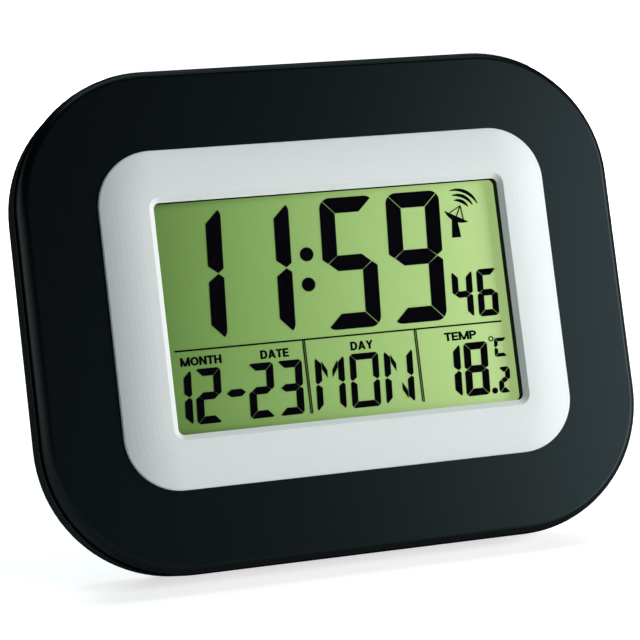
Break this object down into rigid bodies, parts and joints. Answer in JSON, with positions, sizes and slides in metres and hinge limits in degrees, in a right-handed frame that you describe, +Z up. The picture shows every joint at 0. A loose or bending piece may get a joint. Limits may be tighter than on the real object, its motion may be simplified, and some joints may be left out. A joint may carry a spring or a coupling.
{
  "type": "radio-controlled alarm clock",
  "caption": "Black rounded desk clock with a silver bezel around a large liquid crystal display, leaning on a fold-out rear stand, with back buttons and a hinged battery door.",
  "frame": {"origin": "on the table, at the middle of the flat land on the lowest edge of the case", "axes": "+X to the right of someone facing the display, +Y towards the back, +Z up"},
  "size_m": [0.229, 0.0806, 0.1805],
  "materials": {
    "black_case": "satin",
    "silver_bezel": "satin",
    "clear_window": "gloss",
    "display_glass": "satin",
    "display_back_glass": "satin",
    "reflector_film": "satin",
    "display_ink": "matte",
    "white_moulding": "satin",
    "black_rubber": "matte",
    "circuit_board": "satin",
    "chip_resin": "matte",
    "plated_steel": "satin",
    "capacitor_sleeve": "gloss",
    "ferrite": "matte",
    "copper_wire": "gloss",
    "flex_film": "gloss",
    "cell_jacket": "satin",
    "button_plastic": "satin"
  },
  "bodies": {
    "case": {"front_housing": "black_case", "bezel": "silver_bezel", "display_window": "clear_window", "display_seal": "black_rubber", "lcd_front_glass": "display_glass", "lcd_rear_glass": "display_back_glass", "lcd_reflector": "reflector_film", "lcd_segments": "display_ink", "lcd_holder": "white_moulding", "contact_strip": "black_rubber", "main_board": "circuit_board", "controller_chip": "chip_resin", "quartz_crystal": "plated_steel", "capacitors": "capacitor_sleeve", "temperature_sensor": "chip_resin", "radio_module": "plated_steel", "ferrite_rod": "ferrite", "antenna_coil": "copper_wire", "antenna_clips": "white_moulding", "flex_jumper": "flex_film", "key_board": "circuit_board", "switch_bodies": "chip_resin", "sounder": "chip_resin", "rear_cover": "black_case", "battery_cells": "cell_jacket", "battery_contacts": "plated_steel", "case_screws": "plated_steel", "board_screws": "plated_steel", "key_board_screws": "plated_steel"},
    "stand": {"stand": "black_case"},
    "battery_door": {"battery_door": "black_case"},
    "button_1": {"button_1": "button_plastic", "switch_plunger_1": "white_moulding"},
    "button_2": {"button_2": "button_plastic", "switch_plunger_2": "white_moulding"},
    "button_3": {"button_3": "button_plastic", "switch_plunger_3": "white_moulding"},
    "button_4": {"button_4": "button_plastic", "switch_plunger_4": "white_moulding"},
    "button_5": {"button_5": "button_plastic", "switch_plunger_5": "white_moulding"},
    "button_6": {"button_6": "button_plastic", "switch_plunger_6": "white_moulding"}
  },
  "joints": [
    {"name": "stand_fold", "type": "hinge", "parent": "case", "child": "stand", "pos_m": [0, 0.02137, 0.06932], "axis": [-1, 0, 0], "range_deg": [0, 26]},
    {"name": "battery_door_hinge", "type": "hinge", "parent": "case", "child": "battery_door", "pos_m": [0, 0.02849, 0.08541], "axis": [-1, 0, 0], "range_deg": [0, 70]},
    {"name": "button_1_press", "type": "slide", "parent": "case", "child": "button_1", "axis": [0, -0.9511, 0.309], "range_m": [0, 0.0006], "stiffness_N_per_m": 800},
    {"name": "button_2_press", "type": "slide", "parent": "case", "child": "button_2", "axis": [0, -0.9511, 0.309], "range_m": [0, 0.0006], "stiffness_N_per_m": 800},
    {"name": "button_3_press", "type": "slide", "parent": "case", "child": "button_3", "axis": [0, -0.9511, 0.309], "range_m": [0, 0.0006], "stiffness_N_per_m": 800},
    {"name": "button_4_press", "type": "slide", "parent": "case", "child": "button_4", "axis": [0, -0.9511, 0.309], "range_m": [0, 0.0006], "stiffness_N_per_m": 800},
    {"name": "button_5_press", "type": "slide", "parent": "case", "child": "button_5", "axis": [0, -0.9511, 0.309], "range_m": [0, 0.0006], "stiffness_N_per_m": 800},
    {"name": "button_6_press", "type": "slide", "parent": "case", "child": "button_6", "axis": [0, -0.9511, 0.309], "range_m": [0, 0.0006], "stiffness_N_per_m": 800}
  ]
}
